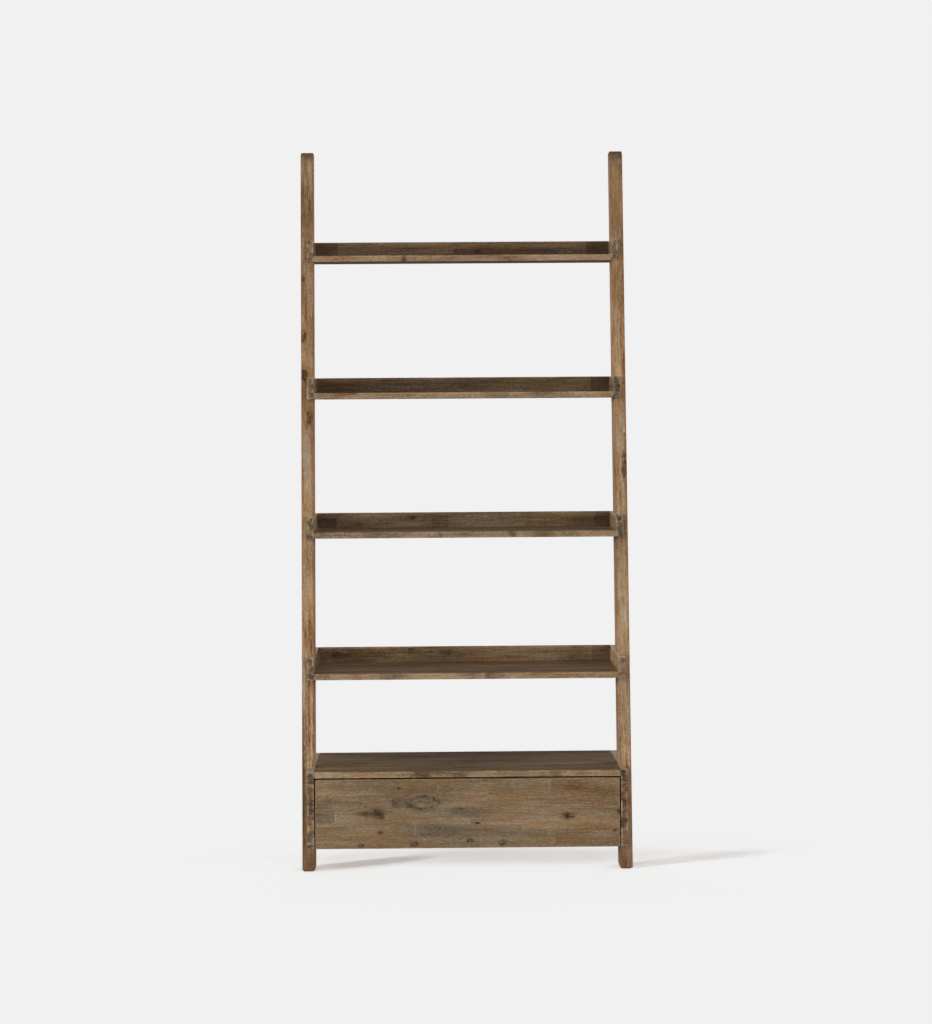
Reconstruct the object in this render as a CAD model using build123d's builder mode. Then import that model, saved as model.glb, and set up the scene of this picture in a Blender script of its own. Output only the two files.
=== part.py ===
import os
from math import cos, radians, tan

from build123d import *

# Ladder shelf: two posts lean back to a wall and carry four open trays and a drawer box.
# Millimetres. +Z is up, the front faces -Y, the wall stands at +Y, and the floor is Z = 0.
# The origin is on the floor, midway across the width and midway from the box front to the wall.

# Overall size: across the posts, to the top of the posts, from the box front to the wall
overall_width = 900.0
overall_height = 1975.0
overall_depth = 400.0

# Posts
post_width = 35.0
post_depth = 75.0
lean_angle = 8.0
post_edge_radius = 3.0
post_front_top_radius = 30.0
post_back_top_radius = 6.0
foot_pad_thickness = 3.0
foot_pad_inset = 4.0

# Boards of the trays and of the box
side_thickness = 18.0
shelf_thickness = 17.0
back_thickness = 18.0
edge_radius = 1.5

# Trays: the lowest one's underside, the top one's below the post tops and the depth from the wall
tray_names = ["lower", "middle", "upper", "top"]
tray_height = 60.0
lowest_tray_z = 520.0
top_tray_drop = 309.0
top_tray_depth = 125.0
tray_depth_step = 70.0

# Drawer box
box_bottom_z = 72.0
box_height = 206.0

# Drawer: an applied front on a dowelled box with a grooved-in bottom
drawer_front_thickness = 18.0
drawer_front_drop = 3.0
drawer_side_gap = 3.3
drawer_top_gap = 4.0
drawer_finger_room = 18.0
drawer_wall = 15.0
drawer_wall_height = 140.0
drawer_rear_room = 19.0
drawer_bottom_thickness = 8.0
drawer_groove_depth = 6.0
drawer_groove_lift = 10.0
drawer_edge_radius = 1.0

# Telescopic slides: a cabinet, a middle and a drawer member, one channel inside the next
slide_setback = 4.0
slide_rear_setback = 6.0
slide_stop_overlap = 5.0
slide_thickness = 12.7
slide_height = 45.0
slide_gauge = 1.2
slide_lip_x = 9.5
middle_web_x = 2.4
middle_lip_x = 10.3
drawer_channel_x = 5.0
slide_ball_radius = 1.8
slide_clearance = 0.3
cage_thickness = 0.4
cage_hole_clearance = 0.1
cage_width = 5.2
cage_end_margin = 8.0
cage_ball_count = 8

# Dowels
dowel_radius = 4.0
dowel_length = 30.0
dowel_in_side = 12.0
drawer_dowel_in_side = 10.0
dowel_end_room = 0.5
dowel_margin = 22.0
rail_dowel_margin = 16.0

# Screws through the posts into the side boards, under wooden plugs
post_screw_radius = 2.0
post_screw_length = 25.0
post_screw_head_radius = 4.5
post_screw_head = 3.0
plug_radius = 5.0
plug_length = 7.0
tray_screw_spread = 24.0
box_screw_margin = 40.0

# Screws of the drawer front, of the slides and of the wall hangers
front_screw_radius = 2.0
front_screw_length = 28.0
front_screw_head_radius = 4.0
front_screw_head = 2.4
front_screw_margin_x = 120.0
front_screw_margin_z = 35.0
slide_screw_radius = 1.8
slide_screw_length = 11.0
slide_screw_head_radius = 3.4
slide_screw_head = 0.8
slide_screw_margin = 30.0
hanger_screw_radius = 1.3
hanger_screw_length = 11.0
hanger_screw_head_radius = 2.6
hanger_screw_head = 0.9

# Wall hangers: keyhole plates let into the back of the top tray
hanger_spacing = 400.0
hanger_width = 18.0
hanger_height = 46.0
hanger_thickness = 2.5
hanger_corner_radius = 3.0
keyhole_radius = 4.5
keyhole_slot_width = 5.0
keyhole_slot_rise = 10.0
keyhole_pocket_depth = 8.0
keyhole_pocket_room = 1.5
hanger_screw_inset = 6.0

# Play between a fastener or a cage ball's hole and what it sits in
bore_clearance = 0.05

# Planes and levels that several pieces share
lean = radians(lean_angle)
front_y = -overall_depth / 2
wall_y = overall_depth / 2
outer_x = overall_width / 2
inner_x = outer_x - post_width
box_top_z = box_bottom_z + box_height
box_ceiling_z = box_top_z - shelf_thickness
back_front_y = wall_y - back_thickness
drawer_back_of_front_y = front_y + drawer_front_thickness
drawer_front_bottom_z = box_bottom_z - drawer_front_drop
drawer_front_top_z = box_ceiling_z - drawer_top_gap
drawer_box_z = drawer_front_bottom_z + drawer_finger_room
drawer_outer_x = inner_x - slide_thickness
drawer_inner_x = drawer_outer_x - drawer_wall
drawer_rear_y = back_front_y - drawer_rear_room
drawer_depth = drawer_rear_y - drawer_back_of_front_y
slide_front_y = drawer_back_of_front_y + slide_setback
slide_rear_y = drawer_rear_y - slide_rear_setback
slide_length = slide_rear_y - slide_front_y
slide_travel = slide_length - slide_stop_overlap
slide_mid_y = (slide_front_y + slide_rear_y) / 2
slide_mid_z = drawer_box_z + drawer_wall_height / 2
sides = {"left": -1, "right": 1}

os.makedirs("parts", exist_ok=True)


def save(builder, name):
    builder.part.label = name
    export_step(builder.part, f"parts/{name}.step")


def spread(low, high, count):
    return [low + (high - low) * i / (count - 1) for i in range(count)]


def along_x(points):
    # Places whose local Z runs along +X
    return [Location(point, (0, 90, 0)) for point in points]


def along_y(points):
    # Places whose local Z runs along -Y, towards the front
    return [Location(point, (90, 0, 0)) for point in points]


def cut_rods(places, radius, length):
    with Locations(*places):
        Cylinder(radius, length, mode=Mode.SUBTRACT)


def add_rods(places, radius, length):
    with Locations(*places):
        Cylinder(radius, length)


def post_front_y(z):
    # The post's top rear corner meets the wall, and the post leans from there
    return wall_y - post_depth / cos(lean) - (overall_height - z) * tan(lean)


def post_mid_y(z):
    return post_front_y(z) + post_depth / cos(lean) / 2


# Every level is a tray or the box: its underside, its side height and its front
tray_levels = {}
tray_pitch = (overall_height - top_tray_drop - lowest_tray_z) / (len(tray_names) - 1)
for step, tray_name in enumerate(tray_names):
    tray_depth = top_tray_depth + tray_depth_step * (len(tray_names) - 1 - step)
    tray_levels[tray_name] = (lowest_tray_z + tray_pitch * step, tray_height, wall_y - tray_depth)
all_levels = {**tray_levels, "box": (box_bottom_z, box_height, front_y)}


def post_screw_points(level):
    # The screws stand on the post's centre line, on each side of a tray board's mid height
    bottom_z, height, level_front_y = all_levels[level]
    if level == "box":
        heights = spread(bottom_z + box_screw_margin, bottom_z + height - box_screw_margin, 3)
    else:
        middle_z = bottom_z + height / 2
        heights = [middle_z - tray_screw_spread / 2, middle_z + tray_screw_spread / 2]
    return [(post_mid_y(z), z) for z in heights]


def shelf_dowel_points(level):
    bottom_z, height, level_front_y = all_levels[level]
    if level == "box":
        middle_z = box_top_z - shelf_thickness / 2
        places_y = spread(level_front_y + dowel_margin, back_front_y - dowel_margin, 4)
    else:
        middle_z = bottom_z + shelf_thickness / 2
        places_y = spread(level_front_y + dowel_margin, back_front_y - dowel_margin, 2)
    return [(y, middle_z) for y in places_y]


def back_dowel_points(level):
    bottom_z, height, level_front_y = all_levels[level]
    middle_y = wall_y - back_thickness / 2
    if level == "box":
        heights = spread(bottom_z + dowel_margin, box_ceiling_z - dowel_margin, 3)
    else:
        heights = spread(bottom_z + rail_dowel_margin, bottom_z + height - rail_dowel_margin, 2)
    return [(middle_y, z) for z in heights]


def dowel_places(points, joint_x, depth_in_side):
    # A dowel crosses the joint plane at joint_x and goes depth_in_side into the outer board
    middle_x = joint_x + depth_in_side - dowel_length / 2
    return along_x([(sign * middle_x, y, z) for sign in sides.values() for y, z in points])


def level_dowel_places(level):
    points = shelf_dowel_points(level) + back_dowel_points(level)
    return dowel_places(points, inner_x, dowel_in_side)


def cut_dowels(places):
    cut_rods(places, dowel_radius + bore_clearance, dowel_length + 2 * dowel_end_room)


# Posts: a leaning plank with a rounded top, a housing for each level and plugged screw bores
plug_bore_depth = plug_length + post_screw_head
screw_tip_x = outer_x - plug_bore_depth - post_screw_length + post_screw_head
for side_name, sign in sides.items():
    with BuildPart() as post:
        with BuildSketch(Plane.YZ.offset(sign * (inner_x + outer_x) / 2)) as outline:
            with BuildLine():
                foot = (post_front_y(foot_pad_thickness), foot_pad_thickness)
                head = (post_front_y(overall_height), overall_height)
                head_back = (wall_y, overall_height)
                foot_back = (foot[0] + post_depth / cos(lean), foot_pad_thickness)
                Polyline(foot, head, head_back, foot_back, close=True)
            make_face()
            upper_corners = outline.vertices().group_by(Axis.Y)[-1]
            fillet(upper_corners.sort_by(Axis.X)[0], post_front_top_radius)
            fillet(outline.vertices().group_by(Axis.Y)[-1].sort_by(Axis.X)[-1], post_back_top_radius)
        extrude(amount=post_width / 2, both=True)
        fillet(post.faces().filter_by(Axis.X).edges(), post_edge_radius)
        for level, (bottom_z, height, level_front_y) in all_levels.items():
            with Locations((sign * (inner_x + side_thickness / 2), 0, bottom_z + height / 2)):
                Box(side_thickness, 2 * overall_depth, height, mode=Mode.SUBTRACT)
            points = post_screw_points(level)
            bore_x = outer_x - plug_bore_depth / 2
            cut_rods(along_x([(sign * bore_x, y, z) for y, z in points]), plug_radius, plug_bore_depth)
            middle_x = (outer_x + inner_x) / 2
            cut_rods(
                along_x([(sign * middle_x, y, z) for y, z in points]),
                post_screw_radius + bore_clearance,
                post_width,
            )
    save(post, f"{side_name}_post")

    with BuildPart() as foot_pad:
        pad_y = foot[0] + post_depth / cos(lean) / 2
        with BuildSketch():
            with Locations((sign * (inner_x + outer_x) / 2, pad_y)):
                pad_length = post_depth / cos(lean) - 2 * foot_pad_inset
                RectangleRounded(post_width - 2 * foot_pad_inset, pad_length, foot_pad_inset)
        extrude(amount=foot_pad_thickness)
    save(foot_pad, f"{side_name}_foot_pad")


# Screws and plugs in the posts
def all_post_points():
    return [point for level in all_levels for point in post_screw_points(level)]


with BuildPart() as post_screws:
    shank_length = post_screw_length - post_screw_head
    head_x = outer_x - plug_length - post_screw_head / 2
    shank_x = outer_x - plug_bore_depth - shank_length / 2
    add_rods(along_x([(head_x, y, z) for y, z in all_post_points()]), post_screw_head_radius, post_screw_head)
    add_rods(along_x([(shank_x, y, z) for y, z in all_post_points()]), post_screw_radius, shank_length)
    mirror(about=Plane.YZ)
save(post_screws, "post_screws")

with BuildPart() as post_plugs:
    plug_x = outer_x - plug_length / 2
    add_rods(
        along_x([(plug_x, y, z) for y, z in all_post_points()]), plug_radius - bore_clearance, plug_length
    )
    mirror(about=Plane.YZ)
save(post_plugs, "post_plugs")


# Side boards: let into the posts, flush with their inner faces
def build_side(level, side_name, sign):
    bottom_z, height, level_front_y = all_levels[level]
    with BuildPart() as side:
        with BuildSketch(Plane.YZ.offset(sign * (inner_x + side_thickness / 2))):
            with Locations(((level_front_y + wall_y) / 2, bottom_z + height / 2)):
                Rectangle(wall_y - level_front_y, height)
        extrude(amount=side_thickness / 2, both=True)
        fillet(side.edges(), edge_radius)
        cut_dowels(level_dowel_places(level))
        pilot_length = inner_x + side_thickness - screw_tip_x + dowel_end_room
        pilot_x = inner_x + side_thickness - pilot_length / 2
        cut_rods(
            along_x([(sign * pilot_x, y, z) for y, z in post_screw_points(level)]),
            post_screw_radius + bore_clearance,
            pilot_length,
        )
        if level == "box":
            cut_rods(
                along_x([(sign * (inner_x + slide_pilot / 2), y, slide_mid_z) for y in slide_screw_ys]),
                slide_screw_radius + bore_clearance,
                slide_pilot,
            )
    return side


slide_screw_ys = spread(slide_front_y + slide_screw_margin, slide_rear_y - slide_screw_margin, 3)
slide_pilot = slide_screw_length - slide_screw_head - slide_gauge + dowel_end_room
for tray_name in tray_names:
    for side_name, sign in sides.items():
        save(build_side(tray_name, side_name, sign), f"{tray_name}_tray_{side_name}_side")
for side_name, sign in sides.items():
    save(build_side("box", side_name, sign), f"box_{side_name}_side")

# Keyhole plates: their places on the back of the top tray
top_z = tray_levels["top"][0]
hanger_z = top_z + tray_height / 2
hanger_screw_rise = hanger_height / 2 - hanger_screw_inset
keyhole_z = hanger_z - keyhole_slot_rise / 2
hanger_screw_points = [
    (x, hanger_z + rise)
    for x in (-hanger_spacing / 2, hanger_spacing / 2)
    for rise in (-hanger_screw_rise, hanger_screw_rise)
]

# Tray shelves and backs
for tray_name, (bottom_z, height, tray_front_y) in tray_levels.items():
    with BuildPart() as shelf:
        with BuildSketch(Plane.XY.offset(bottom_z)):
            with Locations((0, (tray_front_y + back_front_y) / 2)):
                Rectangle(2 * inner_x, back_front_y - tray_front_y)
        extrude(amount=shelf_thickness)
        fillet(shelf.edges(), edge_radius)
        cut_dowels(level_dowel_places(tray_name))
    save(shelf, f"{tray_name}_tray_shelf")

    with BuildPart() as tray_back:
        with BuildSketch(Plane.XZ.offset(-wall_y)):
            with Locations((0, bottom_z + height / 2)):
                Rectangle(2 * inner_x, height)
        extrude(amount=back_thickness)
        fillet(tray_back.edges(), edge_radius)
        cut_dowels(level_dowel_places(tray_name))
        if tray_name == "top":
            hanger_places = [(x, hanger_z) for x in (-hanger_spacing / 2, hanger_spacing / 2)]
            with BuildSketch(Plane.XZ.offset(-wall_y)):
                with Locations(*hanger_places):
                    RectangleRounded(hanger_width, hanger_height, hanger_corner_radius)
            extrude(amount=hanger_thickness, mode=Mode.SUBTRACT)
            with BuildSketch(Plane.XZ.offset(-wall_y + hanger_thickness)):
                with Locations(*hanger_places):
                    pocket_radius = keyhole_radius + keyhole_pocket_room
                    SlotCenterToCenter(keyhole_slot_rise, 2 * pocket_radius, rotation=90)
            extrude(amount=keyhole_pocket_depth, mode=Mode.SUBTRACT)
            pilot_length = hanger_screw_length - hanger_thickness + dowel_end_room
            pilot_y = wall_y - hanger_thickness - pilot_length / 2
            cut_rods(
                along_y([(x, pilot_y, z) for x, z in hanger_screw_points]),
                hanger_screw_radius + bore_clearance,
                pilot_length,
            )
    save(tray_back, f"{tray_name}_tray_back")

# Box top and back
with BuildPart() as box_top:
    with BuildSketch(Plane.XY.offset(box_ceiling_z)):
        Rectangle(2 * inner_x, overall_depth)
    extrude(amount=shelf_thickness)
    fillet(box_top.edges(), edge_radius)
    cut_dowels(level_dowel_places("box"))
save(box_top, "box_top")

with BuildPart() as box_back:
    with BuildSketch(Plane.XZ.offset(-wall_y)):
        with Locations((0, (box_bottom_z + box_ceiling_z) / 2)):
            Rectangle(2 * inner_x, box_ceiling_z - box_bottom_z)
    extrude(amount=back_thickness)
    fillet(box_back.edges(), edge_radius)
    cut_dowels(level_dowel_places("box"))
save(box_back, "box_back")

# Dowels of the trays and of the box
for dowel_group, point_list in (("shelf_dowels", shelf_dowel_points), ("back_dowels", back_dowel_points)):
    with BuildPart() as dowels:
        for level in all_levels:
            add_rods(dowel_places(point_list(level), inner_x, dowel_in_side), dowel_radius, dowel_length)
    save(dowels, dowel_group)

# Wall hangers, set flush into the back of the top tray
for side_name, sign in sides.items():
    with BuildPart() as hanger:
        with BuildSketch(Plane.XZ.offset(-wall_y)):
            with Locations((sign * hanger_spacing / 2, hanger_z)):
                hanger_outline = (hanger_width - 2 * bore_clearance, hanger_height - 2 * bore_clearance)
                RectangleRounded(*hanger_outline, hanger_corner_radius)
            with Locations((sign * hanger_spacing / 2, keyhole_z)):
                Circle(keyhole_radius, mode=Mode.SUBTRACT)
            with Locations((sign * hanger_spacing / 2, hanger_z)):
                SlotCenterToCenter(keyhole_slot_rise, keyhole_slot_width, rotation=90, mode=Mode.SUBTRACT)
            with Locations(*[(x, z) for x, z in hanger_screw_points if x * sign > 0]):
                Circle(hanger_screw_radius + bore_clearance, mode=Mode.SUBTRACT)
        extrude(amount=hanger_thickness)
        cut_rods(
            along_y([(x, wall_y - hanger_screw_head / 2, z) for x, z in hanger_screw_points]),
            hanger_screw_head_radius + bore_clearance,
            hanger_screw_head,
        )
    save(hanger, f"{side_name}_wall_hanger")

with BuildPart() as hanger_screws:
    shank_length = hanger_screw_length - hanger_screw_head
    head_y = wall_y - hanger_screw_head / 2
    shank_y = wall_y - hanger_screw_head - shank_length / 2
    add_rods(
        along_y([(x, head_y, z) for x, z in hanger_screw_points]), hanger_screw_head_radius, hanger_screw_head
    )
    add_rods(along_y([(x, shank_y, z) for x, z in hanger_screw_points]), hanger_screw_radius, shank_length)
save(hanger_screws, "hanger_screws")


# Drawer: the points that its boards, dowels and screws share
drawer_end_ys = [drawer_back_of_front_y + drawer_wall / 2, drawer_rear_y - drawer_wall / 2]
drawer_dowel_heights = spread(
    drawer_box_z + drawer_groove_lift + drawer_bottom_thickness + dowel_margin,
    drawer_box_z + drawer_wall_height - dowel_margin,
    2,
)
drawer_dowel_points = [(y, z) for y in drawer_end_ys for z in drawer_dowel_heights]
front_screw_points = [
    (x, z)
    for x in (-drawer_inner_x + front_screw_margin_x, drawer_inner_x - front_screw_margin_x)
    for z in (drawer_box_z + front_screw_margin_z, drawer_box_z + drawer_wall_height - front_screw_margin_z)
]
front_screw_seat_y = drawer_back_of_front_y + drawer_wall
front_screw_shank = front_screw_length - front_screw_head


def drawer_dowel_places():
    return dowel_places(drawer_dowel_points, drawer_inner_x, drawer_dowel_in_side)


def cut_front_screws():
    bore_length = front_screw_shank + dowel_end_room
    bore_y = front_screw_seat_y - bore_length / 2
    cut_rods(
        along_y([(x, bore_y, z) for x, z in front_screw_points]),
        front_screw_radius + bore_clearance,
        bore_length,
    )


def cut_bottom_groove():
    # The groove for the bottom runs round all four drawer boards
    with Locations((0, (drawer_back_of_front_y + drawer_rear_y) / 2, drawer_box_z + drawer_groove_lift)):
        Box(
            2 * (drawer_inner_x + drawer_groove_depth),
            drawer_depth - 2 * (drawer_wall - drawer_groove_depth),
            drawer_bottom_thickness,
            align=(Align.CENTER, Align.CENTER, Align.MIN),
            mode=Mode.SUBTRACT,
        )


with BuildPart() as drawer_front:
    with BuildSketch(Plane.XZ.offset(-drawer_back_of_front_y)):
        with Locations((0, (drawer_front_bottom_z + drawer_front_top_z) / 2)):
            Rectangle(2 * (inner_x - drawer_side_gap), drawer_front_top_z - drawer_front_bottom_z)
    extrude(amount=drawer_front_thickness)
    fillet(drawer_front.edges(), edge_radius)
    cut_front_screws()
save(drawer_front, "drawer_front")

drawer_ends = {"drawer_box_front": drawer_end_ys[0], "drawer_back": drawer_end_ys[1]}
for end_name, end_y in drawer_ends.items():
    with BuildPart() as drawer_end:
        with BuildSketch(Plane.XY.offset(drawer_box_z)):
            with Locations((0, end_y)):
                Rectangle(2 * drawer_inner_x, drawer_wall)
        extrude(amount=drawer_wall_height)
        fillet(drawer_end.edges().filter_by(Axis.X), drawer_edge_radius)
        cut_bottom_groove()
        cut_dowels(drawer_dowel_places())
        cut_front_screws()
    save(drawer_end, end_name)

for side_name, sign in sides.items():
    with BuildPart() as drawer_side:
        with BuildSketch(Plane.XY.offset(drawer_box_z)):
            middle_x = (drawer_inner_x + drawer_outer_x) / 2
            with Locations((sign * middle_x, (drawer_back_of_front_y + drawer_rear_y) / 2)):
                Rectangle(drawer_wall, drawer_depth)
        extrude(amount=drawer_wall_height)
        fillet(drawer_side.edges().filter_by(Axis.Y), drawer_edge_radius)
        cut_bottom_groove()
        cut_dowels(drawer_dowel_places())
        cut_rods(
            along_x([(sign * (drawer_outer_x - slide_pilot / 2), y, slide_mid_z) for y in slide_screw_ys]),
            slide_screw_radius + bore_clearance,
            slide_pilot,
        )
    save(drawer_side, f"drawer_{side_name}_side")

with BuildPart() as drawer_bottom:
    with BuildSketch(Plane.XY.offset(drawer_box_z + drawer_groove_lift)):
        with Locations((0, (drawer_back_of_front_y + drawer_rear_y) / 2)):
            bottom_reach = drawer_groove_depth - bore_clearance
            Rectangle(
                2 * (drawer_inner_x + bottom_reach), drawer_depth - 2 * (drawer_wall - bottom_reach)
            )
    extrude(amount=drawer_bottom_thickness)
save(drawer_bottom, "drawer_bottom")

with BuildPart() as drawer_dowels:
    add_rods(drawer_dowel_places(), dowel_radius, dowel_length)
save(drawer_dowels, "drawer_dowels")

with BuildPart() as drawer_front_screws:
    head_y = front_screw_seat_y + front_screw_head / 2
    shank_y = front_screw_seat_y - front_screw_shank / 2
    add_rods(
        along_y([(x, head_y, z) for x, z in front_screw_points]), front_screw_head_radius, front_screw_head
    )
    add_rods(along_y([(x, shank_y, z) for x, z in front_screw_points]), front_screw_radius, front_screw_shank)
save(drawer_front_screws, "drawer_front_screws")

# Slides: each channel's outer half height, from the cabinet member in to the drawer member
ball_room = 2 * (slide_ball_radius + slide_clearance)
cabinet_half = slide_height / 2
middle_half = cabinet_half - slide_gauge - ball_room
drawer_half = middle_half - slide_gauge - ball_room
slide_plane = Plane(origin=(0, slide_front_y, slide_mid_z), x_dir=(1, 0, 0), z_dir=(0, 1, 0))


def channel_section(sign, web_reach, flange_reach, half_height, lip_half=None):
    # A web, two flanges and, where lip_half is given, two lips that turn in as far as that height.
    # A reach is measured from the box side towards the drawer.
    way = 1 if flange_reach > web_reach else -1
    hollow_from = web_reach + way * slide_gauge
    hollow_to = flange_reach - way * slide_gauge if lip_half else flange_reach
    with BuildSketch(slide_plane) as section:
        with Locations((sign * (inner_x - (web_reach + flange_reach) / 2), 0)):
            Rectangle(abs(flange_reach - web_reach), 2 * half_height)
        with Locations((sign * (inner_x - (hollow_from + hollow_to) / 2), 0)):
            Rectangle(abs(hollow_to - hollow_from), 2 * (half_height - slide_gauge), mode=Mode.SUBTRACT)
        if lip_half:
            with Locations((sign * (inner_x - (hollow_to + flange_reach) / 2), 0)):
                Rectangle(slide_gauge, 2 * lip_half, mode=Mode.SUBTRACT)
    return section.sketch


def cut_slide_screws(reach, sign):
    cut_rods(
        along_x([(sign * (inner_x - reach), y, slide_mid_z) for y in slide_screw_ys]),
        slide_screw_radius + bore_clearance,
        2 * slide_gauge,
    )


for side_name, sign in sides.items():
    with BuildPart() as cabinet_member:
        lip_half = middle_half + slide_clearance
        extrude(channel_section(sign, 0, slide_lip_x, cabinet_half, lip_half), amount=slide_length)
        cut_slide_screws(slide_gauge / 2, sign)
    save(cabinet_member, f"{side_name}_slide_cabinet_member")

    with BuildPart() as middle_member:
        lip_half = drawer_half + slide_clearance
        extrude(
            channel_section(sign, middle_web_x, middle_lip_x, middle_half, lip_half), amount=slide_length
        )
    save(middle_member, f"{side_name}_slide_middle_member")

    with BuildPart() as drawer_member:
        extrude(
            channel_section(sign, slide_thickness, drawer_channel_x, drawer_half), amount=slide_length
        )
        cut_slide_screws(slide_thickness - slide_gauge / 2, sign)
    save(drawer_member, f"{side_name}_slide_drawer_member")

# Ball cages: a flat strip with a row of balls, above and below, in each of the two races
cage_length = slide_length - slide_travel / 2 - 2 * cage_end_margin
ball_pitch = cage_length / cage_ball_count
cage_races = {
    "slide_outer_ball_cages": (
        slide_lip_x / 2,
        middle_half + slide_clearance + slide_ball_radius,
    ),
    "slide_inner_ball_cages": (
        (middle_web_x + middle_lip_x) / 2,
        drawer_half + slide_clearance + slide_ball_radius,
    ),
}
for cage_name, (reach, race_z) in cage_races.items():
    with BuildPart() as cages:
        ball_spots = [
            (inner_x - reach, slide_mid_y - cage_length / 2 + ball_pitch * (i + 0.5))
            for i in range(cage_ball_count)
        ]
        for height in (slide_mid_z - race_z, slide_mid_z + race_z):
            with BuildSketch(Plane.XY.offset(height)):
                with Locations((inner_x - reach, slide_mid_y)):
                    Rectangle(cage_width, cage_length)
                with Locations(*ball_spots):
                    Circle(slide_ball_radius + cage_hole_clearance, mode=Mode.SUBTRACT)
            extrude(amount=cage_thickness / 2, both=True)
            with Locations(*[(x, y, height) for x, y in ball_spots]):
                Sphere(slide_ball_radius)
        mirror(about=Plane.YZ)
    save(cages, cage_name)

# Slide screws, into the box sides and into the drawer sides
slide_screw_shank = slide_screw_length - slide_screw_head
cabinet_seat_x = inner_x - slide_gauge
drawer_seat_x = drawer_outer_x + slide_gauge
slide_screw_groups = {
    "slide_cabinet_screws": (cabinet_seat_x, 1),
    "slide_drawer_screws": (drawer_seat_x, -1),
}
for group_name, (seat_x, into) in slide_screw_groups.items():
    with BuildPart() as slide_screws:
        head_x = seat_x - into * slide_screw_head / 2
        shank_x = seat_x + into * slide_screw_shank / 2
        add_rods(
            along_x([(head_x, y, slide_mid_z) for y in slide_screw_ys]),
            slide_screw_head_radius,
            slide_screw_head,
        )
        add_rods(
            along_x([(shank_x, y, slide_mid_z) for y in slide_screw_ys]), slide_screw_radius, slide_screw_shank
        )
        mirror(about=Plane.YZ)
    save(slide_screws, group_name)
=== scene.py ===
import math

import bpy
from mathutils import Matrix, Vector


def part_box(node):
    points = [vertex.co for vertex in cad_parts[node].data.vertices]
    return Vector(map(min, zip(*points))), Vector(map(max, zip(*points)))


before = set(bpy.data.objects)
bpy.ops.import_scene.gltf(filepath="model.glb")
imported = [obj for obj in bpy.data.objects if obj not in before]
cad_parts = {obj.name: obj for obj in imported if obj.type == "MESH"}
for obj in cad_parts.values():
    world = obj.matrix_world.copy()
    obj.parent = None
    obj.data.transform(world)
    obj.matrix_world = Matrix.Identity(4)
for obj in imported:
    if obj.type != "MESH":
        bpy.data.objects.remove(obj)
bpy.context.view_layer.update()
perMetre = 1000.0  # patterns are written in millimetres
print("frame loaded,", len(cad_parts), "nodes")


def linear(hexColour, tone=1.0):  # sRGB hex to linear colour, tone makes it lighter or darker
    parts = [int(hexColour[i:i + 2], 16) / 255 for i in (1, 3, 5)]
    flat = [c / 12.92 if c <= 0.04045 else ((c + 0.055) / 1.055) ** 2.4 for c in parts]
    return (*[tone * c for c in flat], 1.0)


def put(tree, kind, links=None, stops=None, **settings):  # adds one node, sets it and links it
    made = tree.nodes.new("ShaderNode" + kind)
    for name, value in settings.items():
        setattr(made, name, value)
    for name, value in (links or {}).items():
        sockets = [s for s in made.inputs if s.enabled]
        socket = sockets[name] if isinstance(name, int) else next(s for s in sockets if s.name == name)
        if isinstance(value, bpy.types.Node):
            value = next(s for s in value.outputs if s.enabled)
        if isinstance(value, bpy.types.NodeSocket):
            tree.links.new(value, socket)
        else:
            socket.default_value = value
    for index, (position, colour) in enumerate(stops or []):
        ramp = made.color_ramp.elements
        element = ramp[index] if index < 2 else ramp.new(position)
        element.position = position
        element.color = colour
    return made


def newMaterial(name):  # an empty node material
    material = bpy.data.materials.new(name)
    material.use_nodes = True
    material.node_tree.nodes.clear()
    return material, material.node_tree


def dress(node, material):  # gives a CAD node its finish
    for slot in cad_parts[node].material_slots:
        slot.material = material


# Weathered acacia: boards glued up from staves, stained, brushed and rubbed back.
# The eye gets olive and warm brown streaks along the grain, greyed staves, dark smudged knots, stain soaked
# into the ends and pale edges, worn and in places painted light, with painted shade under the trays and in
# their recesses, all on a dull surface.
acaciaColours = {
    "olive": "#9d886b", "warm": "#977551", "dark": "#5c3f28", "grey": "#756859", "rust": "#8a5732",
    "knot": "#251d18", "wornAndLit": "#ccb598", "lime": "#c4b296",
}
acaciaGrain = {  # length and width of each mark, in millimetres
    "wander": (320, 60),  # drift of the grain line
    "patch": (150, 19),  # olive and warm areas
    "streak": (130, 5.0),  # colour streaks
    "fibre": (38, 2.1),  # real fibres are finer, these are the finest that show
    "fleck": (8, 2.0),  # short brush marks
    "pore": (12, 1.8),  # a real pore is about 0.3 wide, drawn wider so that it shows
    "blotch": (280, 55),  # uneven stain
}
grainDetail = {  # finer layers in each noise, in the order that the noises are made
    "wander": 2, "patch": 2, "streak": 3, "fibre": 2, "fleck": 1, "pore": 1, "blotch": 2,
}
grainSpan = {  # the two noise values between which each thing comes in
    "warmth": (0.35, 0.65), "patchy": (0.3, 0.7), "darkLine": (0.4, 0.25), "lime": (0.55, 0.72),
    "pore": (0.56, 0.7), "broken": (-0.12, 0.1), "uneven": (0.4, 0.6), "speckled": (0.35, 0.6),
    "soak": (0.36, 0.64), "dull": (0.3, 0.7),
}
noiseMiddle = (0.5, 0.5, 0.5)  # a noise runs from 0 to 1
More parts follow.
